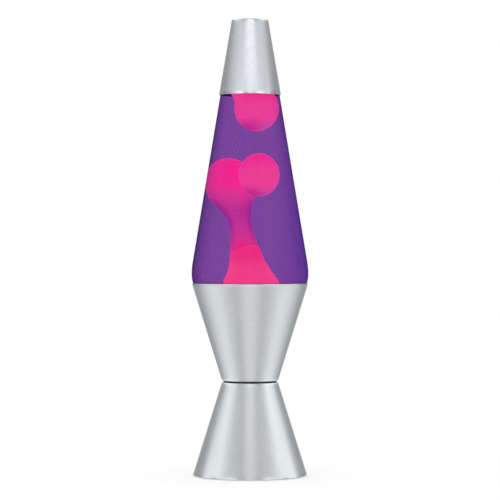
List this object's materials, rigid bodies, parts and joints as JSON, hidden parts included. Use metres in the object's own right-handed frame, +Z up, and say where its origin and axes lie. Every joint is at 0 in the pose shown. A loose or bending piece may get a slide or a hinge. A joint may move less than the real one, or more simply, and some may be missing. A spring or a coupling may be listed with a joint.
{
  "type": "lava lamp",
  "caption": "Motion lamp: tapered glass bottle of tinted liquid and coloured wax on an hourglass base of two spun metal cones, with a lift-off conical cap and a bulb below.",
  "frame": {"origin": "centre of the bottom of the lamp, on the surface that it stands on", "axes": "+Z up along the lamp's own axis; the front of the lamp faces -Y and the cord inlet is at the back, +Y"},
  "size_m": [0.0944, 0.0944, 0.3683],
  "materials": {
    "cap_metal": "satin",
    "cone_metal": "satin",
    "bottle_glass": "gloss",
    "liquid": "gloss",
    "wax": "satin",
    "steel": "satin",
    "brass": "satin",
    "phenolic": "satin",
    "plate_plastic": "matte",
    "rubber": "matte",
    "liner": "matte",
    "bulb_glass": "gloss",
    "tungsten": "satin"
  },
  "bodies": {
    "base": {"lower_cone": "cone_metal", "upper_cone": "cone_metal", "waist_gasket": "rubber", "holder_body": "phenolic", "holder_screw_shell": "brass", "holder_centre_contact": "brass", "terminal_screw_1": "brass", "terminal_screw_2": "brass", "holder_bracket": "steel", "holder_nipple": "steel", "nipple_lock_washer": "steel", "nipple_nut": "steel", "clamp_screw_1": "steel", "clamp_screw_2": "steel", "clamp_nut_1": "steel", "clamp_nut_2": "steel", "base_plate": "plate_plastic", "plate_lug_1": "steel", "plate_lug_2": "steel", "plate_lug_3": "steel", "plate_screw_1": "steel", "plate_screw_2": "steel", "plate_screw_3": "steel", "rubber_foot_1": "rubber", "rubber_foot_2": "rubber", "rubber_foot_3": "rubber", "rubber_foot_4": "rubber", "cord_grommet": "rubber"},
    "globe": {"bottle": "bottle_glass", "crown_closure": "steel", "crown_liner": "liner", "liquid": "liquid", "wax_column": "wax", "wire_coil": "steel"},
    "cap": {"top_cap": "cap_metal"},
    "bulb": {"bulb_envelope": "bulb_glass", "bulb_screw_shell": "brass", "bulb_insulator": "phenolic", "bulb_tip_contact": "brass", "bulb_stem": "bulb_glass", "bulb_lead_wire_1": "steel", "bulb_lead_wire_2": "steel", "bulb_filament": "tungsten"},
    "front_blob": {"wax_front_blob": "wax"},
    "top_blob": {"wax_top_blob": "wax"}
  },
  "joints": [
    {"name": "globe_lift", "type": "slide", "parent": "base", "child": "globe", "axis": [0, 0, 1], "range_m": [0, 0.035]},
    {"name": "cap_lift", "type": "slide", "parent": "globe", "child": "cap", "axis": [0, 0, 1], "range_m": [0, 0.045]},
    {"name": "bulb_unscrew", "type": "slide", "parent": "base", "child": "bulb", "axis": [0, 0, 1], "range_m": [0, 0.006]},
    {"name": "front_blob_drift", "type": "slide", "parent": "globe", "child": "front_blob", "axis": [0, 0, 1], "range_m": [-0.02, 0.008], "deforming": ["liquid"]},
    {"name": "top_blob_drift", "type": "slide", "parent": "globe", "child": "top_blob", "axis": [0, 0, 1], "range_m": [-0.008, 0], "deforming": ["liquid"]}
  ]
}
